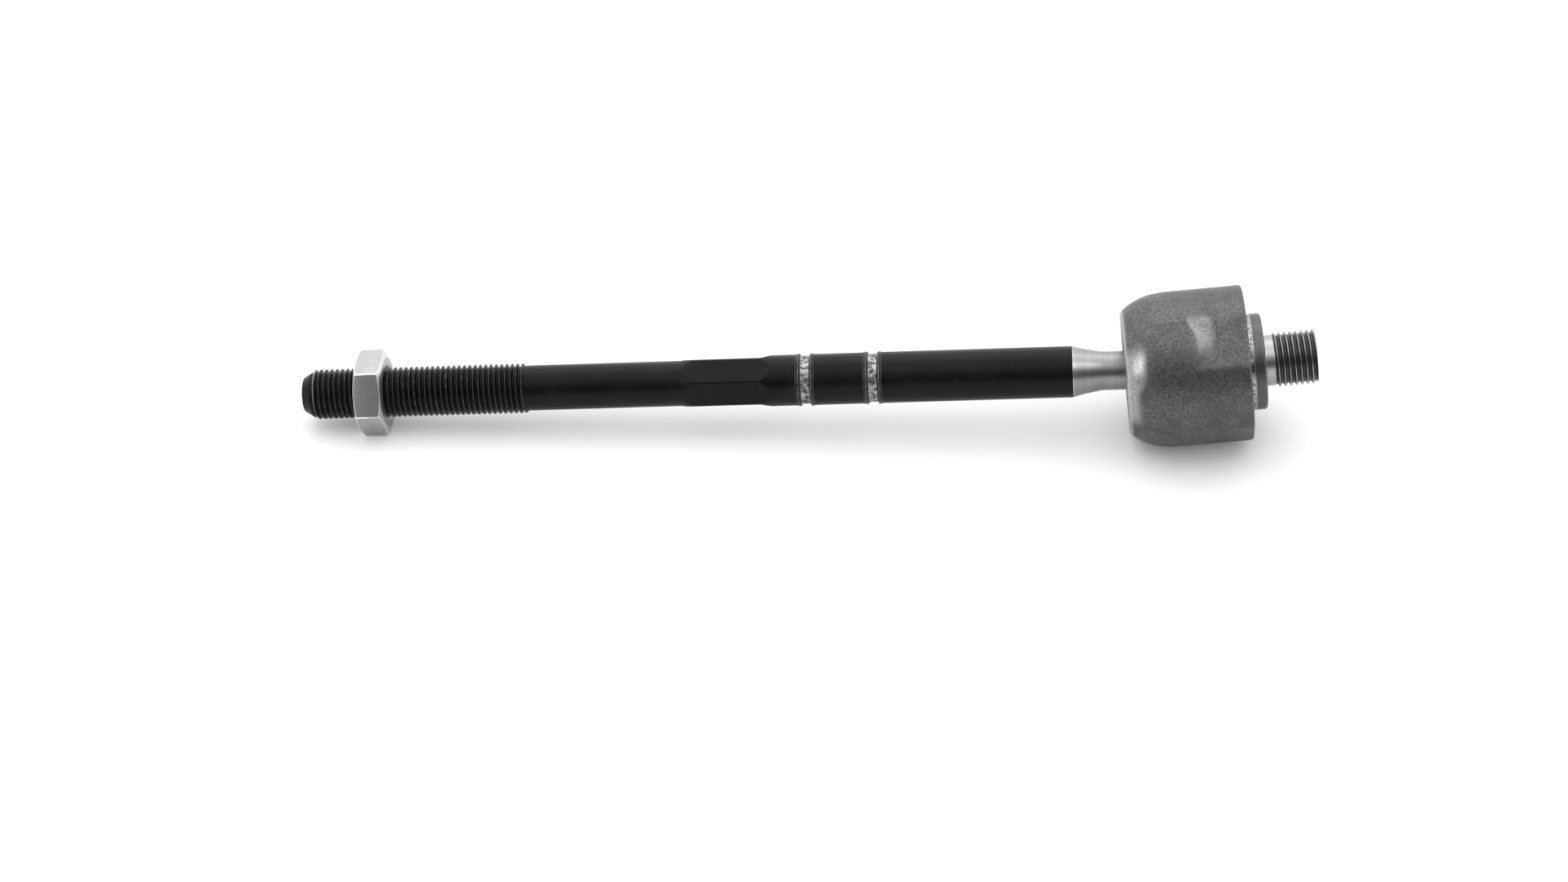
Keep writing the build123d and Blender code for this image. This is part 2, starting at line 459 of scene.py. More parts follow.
@dataclass(frozen=True)
class PlatedSteel(Finish):
    """Pale matt plating on the jam nut, with a fine even grain, worn corners and chamfers, and a
    painted highlight on the edges of one half.
    """

    name: str = "plated_nut"
    slot: Slot = Slot.PLATED_STEEL
    grey: float = 0.385
    roughness: float = 0.37
    worn_grey: float = 0.60
    left_highlight_grey: float = 0.95
    corner_r: float = 11.99
    middle: float = 19.45
    half_len: float = 4.0
    chamfer_r: float = 9.8
    chamfer_slope: float = math.tan(math.radians(22.0))
    bump_depth: float = 0.000020

    def paint(self, bench: NodeBench) -> None:
        """Fills the material's tree."""
        place, along, _, _, radius = bench.turned_place()
        fine = bench.grain(place, 2.2, 4.0)
        broad = bench.grain(place, 0.30, 3.0)
        colour = bench.mix(self.grey * 0.92, self.grey * 1.06, fine.above(0.5, 0.12))
        colour = bench.mix(colour, self.grey * 0.85, broad.above(0.58, 0.10) * 0.5)
        cone = abs(along - self.middle) + (radius - self.chamfer_r) * self.chamfer_slope
        chamfer = cone.above(self.half_len - 0.14, 0.06) * radius.above(self.chamfer_r - 0.1, 0.1)
        corners = radius.above(self.corner_r, 0.04) * (0.5 + 0.5 * broad.above(0.45, 0.15))
        worn = corners.larger(chamfer)
        # The worn edges take the worn grey on the half towards the housing. On the half towards the
        # threaded end they take a near-white painted highlight instead.
        rim = bench.mix(self.left_highlight_grey, self.worn_grey, along.above(self.middle, 1.0))
        bench.surface(
            {
                "Base Color": bench.mix(colour, rim, worn),
                "Metallic": 1.0,
                "Roughness": self.roughness + 0.08 * broad - 0.10 * worn,
                "Normal": bench.bump(fine, self.bump_depth, 0.45),
            }
        )


@dataclass(frozen=True)
class BlastedSteel(Finish):
    """Dark shot-blasted forging, burnished smooth on the rolled dome, with painted highlights on
    one side of the dome and on the run-out of the flats.
    """

    name: str = "blasted_steel"
    slot: Slot = Slot.FORGED_STEEL
    grey: float = 0.100
    burnish_highlight_grey: float = 0.36
    burnish_highlight_end: float = 4.2
    rim_end: float = 0.75
    shoulder_start: float = 17.9
    band_normal: float = math.radians(35.0)
    seam_deg: float = 110.3
    highlight_side_deg: float = 160.0
    highlight_spot_deg: float = 138.0
    lit_side_deg: float = 108.0
    flat_half_cos: float = 0.948
    band_end: float = 22.0
    band_lean: float = 2.1
    band_bulge: float = 1.8
    band_highlight_gain: float = 2.6
    seam_half: float = 0.22
    seam_span: tuple = (7.0, 17.5)
    bump_depth: float = 0.000045

    def paint(self, bench: NodeBench) -> None:
        """Fills the material's tree."""
        place, along, across, up, radius = bench.turned_place()
        shot = bench.grain(place, 1.7, 3.0, 0.6)
        pit = bench.grain(place, 1.1, 2.0)
        broad = bench.grain(place, 0.16, 3.0)
        patch, spot, lit_side = (
            (across * math.cos(math.radians(turn)) + up * math.sin(math.radians(turn))) / radius
            for turn in (self.highlight_side_deg, self.highlight_spot_deg, self.lit_side_deg)
        )
        scuffs = bench.grain(bench.stretched(place, (0.5, 1.4, 1.4)), 1.6, 4.0)
        # Burnished smooth metal on the rolled dome, kept to one side and reaching furthest at one
        # spot on it, where the highlight falls. It is partly real burnish and partly a painted
        # highlight.
        reach = along + 2.6 * scuffs - 2.4 * spot.above(0.94, 0.05)
        burnish_and_highlight = (1 - reach.above(self.burnish_highlight_end, 1.2)) * patch.above(0.84, 0.08)
        rim = (1 - along.above(self.rim_end, 0.40)) * radius.above(16.2, 0.2)
        # Painted highlight: a band on the run-out of the flats is made lighter, most of all on the
        # side that faces up at rest, where the light falls.
        sin_n, cos_n = math.sin(self.band_normal), math.cos(self.band_normal)
        square = abs(across * cos_n + up * sin_n).larger(abs(up * cos_n - across * sin_n))
        facing = (square / radius).above(self.flat_half_cos, 0.030)
        lower = (0 - across * cos_n - up * sin_n).above(-3.4, 3.4)
        shoulder_highlight = (along - self.band_lean * lower).above(self.shoulder_start - 0.6, 0.6) * facing
        shoulder_highlight = shoulder_highlight * (1 - (along - self.band_bulge * facing).above(self.band_end, 1.1))
        seam_angle = math.radians(self.seam_deg)
        off_seam = abs(up * math.cos(seam_angle) - across * math.sin(seam_angle))
        on_seam_side = (across * math.cos(seam_angle) + up * math.sin(seam_angle)).above(0, 1.0)
        seam = (1 - off_seam.above(self.seam_half, 0.16)) * on_seam_side
        seam = seam * along.between(*self.seam_span, 1.5)
        blasted = bench.mix(self.grey * 0.70, self.grey * 1.40, shot.above(0.52, 0.14))
        blasted = bench.mix(blasted, self.grey * 0.72, broad.above(0.54, 0.12) * 0.6)
        # The painted highlight on the band is strongest on the side that faces up.
        shoulder_highlight = shoulder_highlight * (0.12 + 0.88 * lit_side.above(0.93, 0.06))
        shoulder_highlight = shoulder_highlight * (0.40 + 0.60 * shot.above(0.46, 0.16))
        blasted = bench.mix(blasted, self.grey * self.band_highlight_gain, shoulder_highlight)
        blasted = bench.mix(blasted, self.grey * 0.45, seam * 0.6)
        smooth = bench.mix(self.burnish_highlight_grey * 0.6, self.burnish_highlight_grey, scuffs.above(0.5, 0.12))
        bump_height = (1 - burnish_and_highlight) * (shot + pit * 0.6) + burnish_and_highlight * scuffs * 0.3
        bench.surface(
            {
                "Base Color": bench.mix(bench.mix(blasted, smooth, burnish_and_highlight), 0.50, rim * 0.6),
                "Metallic": 0.88,
                "Roughness": 0.42 - 0.16 * burnish_and_highlight + 0.07 * broad,
                "Normal": bench.bump(bump_height, self.bump_depth, 0.75),
            }
        )


@dataclass(frozen=True)
class RawGroove(Finish):
    """Torn bare metal in the floor of a boot groove, bright with dark specks."""

    name: str = "raw_groove"
    slot: Slot = Slot.BARE_STEEL
    grey: float = 0.42
    speck_grey: float = 0.03
    bump_depth: float = 0.00020

    def paint(self, bench: NodeBench) -> None:
        """Fills the material's tree."""
        place = bench.place()
        coarse = bench.grain(place, 0.80, 4.0, 0.62)
        fine = bench.grain(place, 2.4, 3.0)
        specks = (1 - coarse.above(0.45, 0.05)).larger(fine.above(0.66, 0.04) * 0.8)
        colour = bench.mix(self.grey * 0.55, self.grey, coarse.above(0.55, 0.12))
        bench.surface(
            {
                "Base Color": bench.mix(colour, self.speck_grey, specks),
                "Metallic": 1.0 - 0.5 * specks,
                "Roughness": 0.30 + 0.25 * fine,
                "Normal": bench.bump(coarse + fine * 0.5, self.bump_depth, 0.9),
            }
        )


@dataclass(frozen=True)
class Acetal(Finish):
    """Natural white plastic of the ball seat."""

    name: str = "acetal_race"
    slot: Slot = Slot.SEAT_PLASTIC

    def paint(self, bench: NodeBench) -> None:
        """Fills the material's tree."""
        bench.surface({"Base Color": (0.75, 0.75, 0.72), "Roughness": 0.38})


@dataclass(frozen=True)
class Axle:
    """A turning axis in the row frame, along which a piece is drawn in millimetres."""

    origin: Vector
    along: Vector

    @classmethod
    def through(cls, joint: dict, direction: Sequence[float], back: float) -> "Axle":
        """The axis whose origin lies before a joint's place.

        Args:
            joint: A joint of the frame with a place.
            direction: The axis direction.
            back: How far the origin lies before the joint, in millimetres.

        Returns:
            The axis.
        """
        along = Vector(direction).normalized()
        return cls(Vector(joint["pos_m"]) - along * back * MM, along)

    def basis(self) -> np.ndarray:
        """The axis, the level direction across it and the direction up, as columns."""
        level = Vector((0, 0, 1)).cross(self.along).normalized()
        return np.array([self.along, level, self.along.cross(level)]).T

    def placed(self, points: np.ndarray) -> np.ndarray:
        """Points in millimetres on this axis as points in metres in the row frame."""
        return np.array(self.origin) + points @ self.basis().T * MM


class Shell:
    """Rows of points round an axis that close up into one mesh."""

    def __init__(self, angles: np.ndarray) -> None:
        """Starts an empty shell.

        Args:
            angles: The angle of each column of points, from level towards up.
        """
        self.angles = angles
        self.points: list[np.ndarray] = []
        self.faces: list[np.ndarray] = []
        self.count = 0

    def rows(self, along: Any, radius: Any, shift: int = 0) -> None:
        """Adds a sheet of quads.

        Args:
            along: Places along the axis, one row per ring, and one column per angle or one in all.
            radius: Radii, in the same form.
            shift: How many rows further on the last column meets the first, for a helix.
        """
        along = np.asarray(along, float)
        radius = np.asarray(radius, float)
        along = along[:, None] if along.ndim == 1 else along
        radius = radius[:, None] if radius.ndim == 1 else radius
        shape = (len(along), len(self.angles))
        along = np.broadcast_to(along, shape)
        radius = np.broadcast_to(radius, shape)
        across = radius * np.cos(self.angles)
        up = radius * np.sin(self.angles)
        self.points.append(np.stack([along, across, up], axis=-1).reshape(-1, 3))
        index = self.count + np.arange(shape[0] * shape[1]).reshape(shape)
        self.count += index.size
        near, far = index[:, :-1], index[:, 1:]
        quads = [np.stack([near[:-1], near[1:], far[1:], far[:-1]], axis=-1).reshape(-1, 4)]
        last = index[: shape[0] - shift, -1]
        first = index[shift:, 0]
        quads.append(np.stack([last[:-1], last[1:], first[1:], first[:-1]], axis=-1))
        self.faces.extend(quads)

    def profile(self, corners: Sequence[tuple]) -> None:
        """Adds a turned sheet through corners, each a place along the axis and a radius."""
        table = np.array(corners, float)
        self.rows(table[:, 0], table[:, 1])

    def make(self, name: str, axle: Axle) -> bpy.types.Object:
        """Closes the shell into an object.

        Args:
            name: The object's name.
            axle: The axis that it is set on.

        Returns:
            The object, in place.
        """
        mesh = bpy.data.meshes.new(name)
        points = np.concatenate(self.points)
        faces = np.concatenate(self.faces)
        mesh.from_pydata(points.tolist(), [], faces.tolist())
        work = bmesh.new()
        work.from_mesh(mesh)
        bmesh.ops.remove_doubles(work, verts=work.verts, dist=WELD_MM)
        bmesh.ops.recalc_face_normals(work, faces=work.faces)
        work.to_mesh(mesh)
        work.free()
        local = np.zeros(len(mesh.vertices) * 3, np.float32)
        mesh.vertices.foreach_get("co", local)
        mesh.attributes.new(LOCAL, "FLOAT_VECTOR", "POINT").data.foreach_set("vector", local)
        placed = axle.placed(local.reshape(-1, 3).astype(float))
        mesh.vertices.foreach_set("co", placed.astype(np.float32).ravel())
        mesh.polygons.foreach_set("use_smooth", [True] * len(mesh.polygons))
        mesh.set_sharp_from_angle(angle=SHARP_ANGLE)
        mesh.update()
        made = bpy.data.objects.new(name, mesh)
        bpy.context.scene.collection.objects.link(made)
        return made


def even_angles(count: int) -> np.ndarray:
    """Angles evenly round a full turn."""
    return np.arange(count) * 2 * math.pi / count


def mirrored_angles(start: float, sides: int, offsets: Sequence[float]) -> np.ndarray:
    """Angles that are closer together near the corners of a polygon.

    Args:
        start: The angle of the first corner, in degrees.
        sides: The number of sides.
        offsets: Angles from a corner to the middle of a side, in degrees.

    Returns:
        The angles in radians.
    """
    side = 360 / sides
    one_side = sorted(set(offsets) | {side - offset for offset in offsets if offset > 0})
    turns = [start + side * n + offset for n in range(sides) for offset in one_side]
    return np.radians(turns)


def off_normal(angles: np.ndarray, normal: float, sides: int) -> np.ndarray:
    """How far each angle is from the middle of its side.

    Args:
        angles: Angles in radians.
        normal: The direction of one side, in degrees.
        sides: The number of sides.

    Returns:
        The differences in radians, without a sign.
    """
    side = 2 * math.pi / sides
    turned = angles - math.radians(normal) + side / 2
    return np.abs(np.mod(turned, side) - side / 2)


def eased(value: np.ndarray, low: float, high: float) -> np.ndarray:
    """A smooth rise from 0 at low to 1 at high."""
    share = np.clip((value - low) / (high - low), 0, 1)
    return share * share * (3 - 2 * share)


def arc(
    centre: tuple[float, float], radius: float, start: float, end: float, count: int
) -> list[tuple[float, float]]:
    """Points of an arc in the plane of place along the axis and radius.

    Args:
        centre: The arc's centre.
        radius: The arc's radius.
        start: The first angle in degrees, counted from the axis direction outwards.
        end: The last angle in degrees.
        count: The number of points.

    Returns:
        The points.
    """
    turns = np.radians(np.linspace(start, end, count))
    return [(centre[0] + radius * math.cos(t), centre[1] + radius * math.sin(t)) for t in turns]


@dataclass(frozen=True)
class Thread:
    """A right-hand metric thread with a rounded crest and root."""

    pitch: float
    crest_r: float
    root_r: float
    knots: tuple = (0.05, 0.09, 0.35, 0.40, 0.60, 0.65, 0.91, 0.95)
    heights: tuple = (1.0, 0.93, 0.07, 0.0, 0.0, 0.07, 0.93, 1.0)

    def radius(self, along: np.ndarray, angles: np.ndarray) -> np.ndarray:
        """The thread's radius at places along the axis and angles."""
        phase = np.mod(along / self.pitch - angles / (2 * math.pi), 1)
        height = np.interp(phase, self.knots, self.heights, period=1)
        return self.root_r + (self.crest_r - self.root_r) * height

    def cut(
        self,
        shell: Shell,
        start: float,
        end: float,
        limits: Callable[[np.ndarray, np.ndarray], np.ndarray],
    ) -> tuple[np.ndarray, np.ndarray]:
        """Adds a threaded surface to a shell.

        Args:
            shell: The shell.
            start: Where the surface starts along the axis.
            end: Where it ends.
            limits: Gives the radius that is really cut from places and thread radii.

        Returns:
            The radii of the first and last ring.
        """
        count = len(self.knots)
        first_turn = math.floor(start / self.pitch) - 2
        turns = math.ceil(end / self.pitch) + 1 - first_turn
        steps = np.array([first_turn + n + knot for n in range(turns) for knot in self.knots])
        helix = steps[:, None] * self.pitch + self.pitch * shell.angles / (2 * math.pi)
        along = np.clip(helix, start, end)
        shell.rows(along, limits(along, self.radius(along, shell.angles)), shift=count)
        rings = []
        for place in (start, end):
            ring = np.full((1, len(shell.angles)), place)
            rings.append(limits(ring, self.radius(ring, shell.angles)))
        return rings[0], rings[1]


@dataclass(frozen=True)
class Lips:
    """A pair of rolled lips with a boot groove between them."""

    floor_r: float = 6.64
    floor_half: float = 1.2
    shaft_r: float = 7.05
    ridge: tuple = (
        (1.2, 6.64),
        (1.24, 6.86),
        (1.36, 7.10),
        (1.54, 7.25),
        (1.76, 7.31),
        (1.94, 7.25),
        (2.08, 7.13),
        (2.20, 7.09),
        (2.34, 7.14),
        (2.48, 7.14),
        (2.62, 7.08),
        (2.75, 7.05),
    )
    bump_r: float = 0.16
    bump_out: float = 2.35
    bump_deg: float = 164.0

    def left(self, place: float) -> list[tuple[float, float]]:
        """The lip before a groove, in the order of the axis."""
        return [(place - out, radius) for out, radius in reversed(self.ridge)]

    def right(self, place: float) -> list[tuple[float, float]]:
        """The lip after a groove, in the order of the axis."""
        return [(place + out, radius) for out, radius in self.ridge]

    def burr(self, along: np.ndarray, angles: np.ndarray, place: float) -> np.ndarray:
        """The height of the small burr that each groove has on its first lip.

        Args:
            along: Places along the axis.
            angles: The angles of the columns.
            place: The middle of the groove.

        Returns:
            The height to add to the radius.
        """
        out = (along - place + self.bump_out) / 0.30
        turned = (angles - math.radians(self.bump_deg)) * self.shaft_r / 1.3
        return self.bump_r * np.exp(-(out**2) - turned**2)


@dataclass
class Piece:
    """One built object with its finish, body and the solids that it stands for."""

    made: bpy.types.Object
    finish: Finish
    body: Body
    stands_for: str

    def dress(self) -> None:
        """Gives the object its finish and sets it on its body."""
        self.made.data.materials.append(self.finish.material())
        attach(self.made, self.body.value)
        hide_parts(self.stands_for)
        count = len(self.made.data.polygons)
        log.info("%s: %d faces, finish %s", self.made.name, count, self.finish.name)


@dataclass
class BallRod:
    """The steel rod from its threaded end to the ball."""

    axle: Axle
    thread: Thread = Thread(pitch=1.5, crest_r=6.93, root_r=6.05)
    lead_r: float = 4.8
    lead_len: float = 3.4
    thread_len: float = 62.5
    thin_start: float = 63.2
    thin_r: float = 6.28
    hex_start: float = 106.0
    hex_end: float = 128.0
    hex_rise: float = 3.2
    hex_ramp: float = 4.0
    hex_apothem: float = 6.4
    hex_round_r: float = 7.25
    hex_corner_deg: float = 146.2
    thick_r: float = 7.05
    lips: Lips = field(default_factory=Lips)
    groove_places: tuple = (140.5, 159.1)
    bare_start: float = 213.75
    taper: tuple = ((213.75, 7.02), (214.05, 6.92), (215.3, 6.57), (217.6, 6.07), (219.8, 5.64))
    neck_start: float = 222.05
    neck_r: float = 5.3
    ball_place: float = 242.4
    ball_r: float = 13.0
    ball_flat_r: float = 5.0
    neck_fillet: float = 1.5
    corner_offsets: tuple = (0, 1.97, 4, 7, 11, 15.5, 20, 25, 30)

    def build(self) -> list[Piece]:
        """Builds the pieces of the rod."""
        coat, turned, raw = BlackCoat(), TurnedSteel(), RawGroove()
        pieces = [
            Piece(self._threaded_end(), coat, Body.ROD, "ball_rod"),
            Piece(self._wrench_shaft(), coat, Body.ROD, "ball_rod"),
            Piece(self._spacer(), coat, Body.ROD, "ball_rod"),
            Piece(self._thick_shaft(), coat, Body.ROD, "ball_rod"),
            Piece(self._neck_and_ball(), turned, Body.ROD, "ball_rod"),
        ]
        for number, place in enumerate(self.groove_places, start=1):
            floor = self._groove_floor(f"groove_floor_{number}", place)
            pieces.append(Piece(floor, raw, Body.ROD, "ball_rod"))
        return pieces

    def _end_limits(self, along: np.ndarray, radius: np.ndarray) -> np.ndarray:
        """The thread as the lead-in cone and the run-out leave it."""
        cone = self.lead_r + (self.thread.crest_r - self.lead_r) * along / self.lead_len
        run_out = eased(along, self.thread_len - 0.3, self.thin_start)
        crest = self.thread.crest_r - (self.thread.crest_r - self.thin_r) * run_out
        upper = np.minimum(cone, crest)
        fill = eased(along, self.thread_len - 2.0, self.thin_start)
        lower = self.thread.root_r + (self.thin_r - self.thread.root_r) * fill
        lower = np.minimum(lower, cone)
        return np.clip(radius, lower, np.maximum(upper, lower))

    def _threaded_end(self) -> bpy.types.Object:
        """The rolled thread with its lead-in and run-out."""
        shell = Shell(even_angles(96))
        first, last = self.thread.cut(shell, 0.0, self.thin_start, self._end_limits)
        shell.rows([[0.0], [0.0]], np.concatenate([first * 0, first]))
        shell.rows([[self.thin_start], [self.thin_start]], np.concatenate([last, last * 0]))
        return shell.make("threaded_end", self.axle)

    def _wrench_shaft(self) -> bpy.types.Object:
        """The thin shaft, the wrench hexagon and the thick shaft up to the first groove."""
        angles = mirrored_angles(self.hex_corner_deg, 6, self.corner_offsets)
        shell = Shell(angles)
        turn = np.cos(off_normal(angles, self.hex_corner_deg + 30, 6))
        flat_r = np.minimum(self.hex_apothem / turn, self.hex_round_r)
        climb = (self.hex_round_r - self.thin_r) / self.hex_rise
        rise = self.hex_start + (flat_r - self.thin_r) / climb
        shell.rows([self.thin_start] * 2, [0.0, self.thin_r])
        shell.rows(np.linspace(self.thin_start, self.hex_start, 4), [self.thin_r] * 4)
        shares = np.linspace(0, 1, 7)[:, None]
        cone = self.hex_start + (rise - self.hex_start) * shares
        shell.rows(cone, self.thin_r + climb * (cone - self.hex_start))
        flats = rise + (self.hex_end - rise) * shares
        shell.rows(flats, np.broadcast_to(flat_r, flats.shape))
        self._hex_ramp(shell, turn)
        start = self.hex_end + self.hex_ramp
        corners = [(start, self.thick_r), (start + 2, self.thick_r)]
        place = self.groove_places[0]
        self._lipped(shell, corners + self.lips.left(place), place)
        end = place - self.lips.floor_half
        shell.profile([(end, self.lips.floor_r), (end, 0)])
        return shell.make("wrench_shaft", self.axle)

    def _hex_ramp(self, shell: Shell, turn: np.ndarray) -> None:
        """Adds the slopes that end the hexagon.

        Args:
            shell: The shell of the wrench shaft.
            turn: The cosine of each column's angle from its flat.
        """
        slope = (self.hex_round_r - self.hex_apothem) / self.hex_ramp
        fall = (self.hex_round_r - self.thick_r) / self.hex_ramp
        reach = (self.hex_round_r * turn - self.hex_apothem) / (slope + fall * turn)
        reach = np.clip(reach, 0, self.hex_ramp)
        shares = np.linspace(0, 1, 7)[:, None]
        ramp = reach * shares
        flat_r = (self.hex_apothem + slope * ramp) / turn
        shell.rows(self.hex_end + ramp, np.minimum(flat_r, self.hex_round_r - fall * ramp))
        rest = reach + (self.hex_ramp - reach) * shares
        shell.rows(self.hex_end + rest, self.hex_round_r - fall * rest)

    def _lipped(self, shell: Shell, corners: list[tuple], place: float) -> None:
        """Adds a turned sheet that carries the burr of the groove at a place."""
        table = np.array(corners, float)
        along = table[:, :1]
        burr = self.lips.burr(along, np.mod(shell.angles, 2 * math.pi), place)
        shell.rows(along, table[:, 1:] + burr * (along < place - self.lips.floor_half - 0.1))

    def _spacer(self) -> bpy.types.Object:
        """The coated length between the two grooves."""
        first, second = self.groove_places
        shell = Shell(even_angles(120))
        corners = self.lips.right(first)
        corners += [(first + 5, self.thick_r), (second - 5, self.thick_r)]
        corners += self.lips.left(second)
        shell.profile([(corners[0][0], 0), corners[0]])
        self._lipped(shell, corners, second)
        shell.profile([corners[-1], (corners[-1][0], 0)])
        return shell.make("groove_spacer", self.axle)

    def _thick_shaft(self) -> bpy.types.Object:
        """The coated length from the second groove to the bare neck."""
        shell = Shell(even_angles(120))
        corners = self.lips.right(self.groove_places[1])
        corners = [(corners[0][0], 0)] + corners
        end = self.bare_start
        corners += [(end - 25, self.thick_r), (end - 0.06, self.thick_r)]
        corners.append((end, self.thick_r - 0.05))
        shell.profile(corners + [(end, 0)])
        return shell.make("thick_shaft", self.axle)

    def _groove_floor(self, name: str, place: float) -> bpy.types.Object:
        """The rough bare floor of a groove.

        Args:
            name: The object's name.
            place: The middle of the groove.

        Returns:
            The object.
        """
        angles = even_angles(180)
        shell = Shell(angles)
        half = self.lips.floor_half
        along = np.linspace(place - half, place + half, 17)
        radius = np.empty((len(along), len(angles)))
        for row, x in enumerate(along):
            for column, angle in enumerate(angles):
                spot = Vector((x * 1.3, math.cos(angle) * 8.5, math.sin(angle) * 8.5))
                radius[row, column] = noise.fractal(spot, 0.7, 2.1, 3)
        fade = np.minimum(1, (half - np.abs(along - place)) / 0.3)[:, None]
        radius = self.lips.floor_r + 0.07 * radius * fade
        shell.profile([(along[0], 0), (along[0], self.lips.floor_r)])
        shell.rows(along, radius)
        shell.profile([(along[-1], self.lips.floor_r), (along[-1], 0)])
        return shell.make(name, self.axle)

    def _neck_and_ball(self) -> bpy.types.Object:
        """The bare taper, the neck and the ball with the flat on its far side."""
        shell = Shell(even_angles(120))
        known = np.array(self.taper[1:] + ((self.neck_start, self.neck_r),))
        curve = np.polynomial.Polynomial.fit(known[:, 0], known[:, 1], len(known) - 1)
        steps = np.linspace(known[0, 0], self.neck_start, 14)
        corners = [(self.bare_start, 0), self.taper[0]] + [(x, curve(x)) for x in steps]
        reach = self.ball_r + self.neck_fillet
        lift = self.neck_r + self.neck_fillet
        fillet_place = self.ball_place - math.sqrt(reach**2 - lift**2)
        turn = math.degrees(math.asin(lift / reach))
        corners += arc((fillet_place, lift), self.neck_fillet, 270, 360 - turn, 8)
        flat = math.degrees(math.asin(self.ball_flat_r / self.ball_r))
        corners += arc((self.ball_place, 0), self.ball_r, 180 - turn, flat, 48)
        corners.append((corners[-1][0], 0))
        shell.profile(corners)
        return shell.make("neck_and_ball", self.axle)


@dataclass
class JamNut:
    """The hexagon nut on the rod's thread."""

    axle: Axle
    rod_thread: Thread
    place: float = 19.45
    length: float = 8.0
    across_flats: float = 21.0
    face_r: float = 9.8
    chamfer_deg: float = 22.0
    countersink: float = 0.7
    bore_r: float = 6.98
    play: float = 0.06
    edge_r: float = 0.5
    edge_bevel: float = 0.14
    corner_offsets: tuple = (0, 0.7, 1.4, 1.97, 3.2, 5, 8, 12, 17, 23, 30)

    def build(self) -> list[Piece]:
        """Builds the nut."""
        return [Piece(self._nut(), PlatedSteel(), Body.NUT, "jam_nut")]

    def _outline(self, angles: np.ndarray) -> np.ndarray:
        """The hexagon's radius at each angle, with rounded corners."""
        off_corner = off_normal(angles, 0, 6)
        apothem = self.across_flats / 2
        flat = apothem / np.cos(HALF_HEX_SIDE - off_corner)
        corner = apothem / math.cos(HALF_HEX_SIDE)
        centre = corner - self.edge_r / math.cos(HALF_HEX_SIDE)
        offset = corner * np.sin(off_corner)
        tip = centre + np.sqrt(np.clip(self.edge_r**2 - offset**2, 0, None))
        rounded = offset < self.edge_r * math.tan(HALF_HEX_SIDE)
        return np.where(rounded, np.minimum(tip, flat), flat)

    def _bore_limits(self, along: np.ndarray, radius: np.ndarray) -> np.ndarray:
        """The internal thread as the countersinks leave it."""
        inside = self.length / 2 - np.abs(along - self.place)
        return np.maximum(radius + self.play, self.bore_r + self.countersink - inside)

    def _nut(self) -> bpy.types.Object:
        """The nut's outside and its internal thread."""
        angles = mirrored_angles(0, 6, self.corner_offsets)
        shell = Shell(angles)
        outline = self._outline(angles)
        slope = math.tan(math.radians(self.chamfer_deg))
        drop = (outline - self.face_r) * slope
        half = self.length / 2
        bevel = self.edge_bevel
        mouth = np.full_like(outline, self.bore_r + self.countersink)
        face = np.full_like(outline, self.face_r)
        flat_face = np.full_like(outline, half)
        rings = [
            (flat_face, mouth),
            (flat_face, face - 0.15),
            (flat_face - 0.03, face + 0.08),
            (half - drop + bevel * slope, outline - bevel),
            (half - drop - bevel * 0.35, outline - bevel * 0.28),
            (half - drop - bevel * 1.3, outline),
        ]
        along = [self.place - offset for offset, _ in rings]
        along += [self.place + offset for offset, _ in reversed(rings)]
        radius = [ring for _, ring in rings] + [ring for _, ring in reversed(rings)]
        shell.rows(np.array(along), np.array(radius))
        start, end = self.place - half, self.place + half
        self.rod_thread.cut(shell, start, end, self._bore_limits)
        return shell.make("jam_nut_visual", self.axle)


